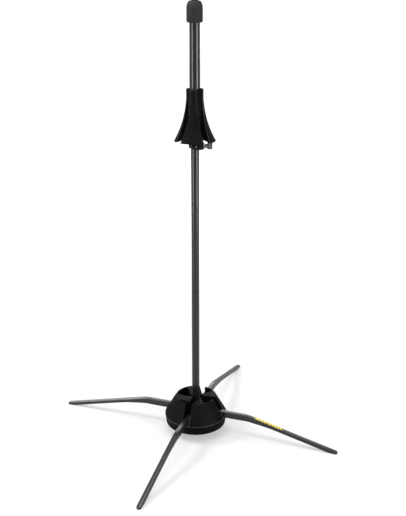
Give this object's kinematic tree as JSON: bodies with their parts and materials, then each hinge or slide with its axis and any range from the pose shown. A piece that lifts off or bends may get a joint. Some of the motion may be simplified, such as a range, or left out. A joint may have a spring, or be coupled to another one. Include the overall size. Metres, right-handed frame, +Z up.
{
  "type": "trumpet stand",
  "caption": "Floor stand for a brass instrument: folding legs in a conical hub, a telescopic stem with a clamp, a flocked cone for the bell and a rubber tip.",
  "frame": {"origin": "on the floor, on the stem's axis", "axes": "+Z up along the stem, +X along the leg with the label"},
  "size_m": [0.494, 0.494, 0.708],
  "materials": {
    "black_enamel": "semi-gloss black enamel on steel",
    "hub_plastic": "fine-textured black moulding",
    "flocking": "black flock on a plastic moulding",
    "rubber": "matte dark grey rubber",
    "clamp_plastic": "satin black moulding",
    "grey_plastic": "grey moulded head on a steel screw",
    "steel": "zinc-plated steel",
    "nylon": "natural nylon",
    "black_nylon": "black nylon",
    "label": "printed strip"
  },
  "bodies": {
    "base": {"hub_cover": "hub_plastic", "hub_base": "hub_plastic", "lower_tube": "black_enamel", "stem_plug": "steel", "stem_bolt": "steel", "stem_washer": "steel", "glide_plug": "nylon", "pivot_bolt_1": "steel", "pivot_nut_1": "steel", "hub_screw_1": "steel", "pivot_bolt_2": "steel", "pivot_nut_2": "steel", "hub_screw_2": "steel", "pivot_bolt_3": "steel", "pivot_nut_3": "steel", "hub_screw_3": "steel", "pivot_bolt_4": "steel", "pivot_nut_4": "steel", "hub_screw_4": "steel"},
    "leg_1": {"leg_1": "black_enamel", "leg_bush_1": "steel", "friction_washer_left_1": "nylon", "friction_washer_right_1": "nylon", "leg_label": "label"},
    "leg_2": {"leg_2": "black_enamel", "leg_bush_2": "steel", "friction_washer_left_2": "nylon", "friction_washer_right_2": "nylon"},
    "leg_3": {"leg_3": "black_enamel", "leg_bush_3": "steel", "friction_washer_left_3": "nylon", "friction_washer_right_3": "nylon"},
    "leg_4": {"leg_4": "black_enamel", "leg_bush_4": "steel", "friction_washer_left_4": "nylon", "friction_washer_right_4": "nylon"},
    "upper_stem": {"clamp_bush": "black_nylon", "upper_tube": "black_enamel", "bell_support": "flocking", "clamp_collar": "clamp_plastic", "clamp_nut": "steel", "clamp_washer": "steel", "tip_cap": "rubber", "tip_plug": "clamp_plastic"},
    "thumb_screw": {"thumb_screw": "grey_plastic"}
  },
  "joints": [
    {"name": "leg_1_fold", "type": "hinge", "parent": "base", "child": "leg_1", "pos_m": [0.024, 0, 0.0363], "axis": [0, -1, 0], "range_deg": [0, 96]},
    {"name": "leg_2_fold", "type": "hinge", "parent": "base", "child": "leg_2", "pos_m": [0, 0.024, 0.0363], "axis": [1, 0, 0], "range_deg": [0, 96]},
    {"name": "leg_3_fold", "type": "hinge", "parent": "base", "child": "leg_3", "pos_m": [-0.024, 0, 0.0363], "axis": [0, 1, 0], "range_deg": [0, 96]},
    {"name": "leg_4_fold", "type": "hinge", "parent": "base", "child": "leg_4", "pos_m": [0, -0.024, 0.0363], "axis": [-1, 0, 0], "range_deg": [0, 96]},
    {"name": "stem_height", "type": "slide", "parent": "base", "child": "upper_stem", "axis": [0, 0, 1], "range_m": [-0.075, 0.075]},
    {"name": "thumb_screw_turn", "type": "hinge", "parent": "upper_stem", "child": "thumb_screw", "pos_m": [0.00522, -0.0107, 0.4947], "axis": [0.8988, 0.4384, 0], "range_deg": [0, 360]}
  ]
}
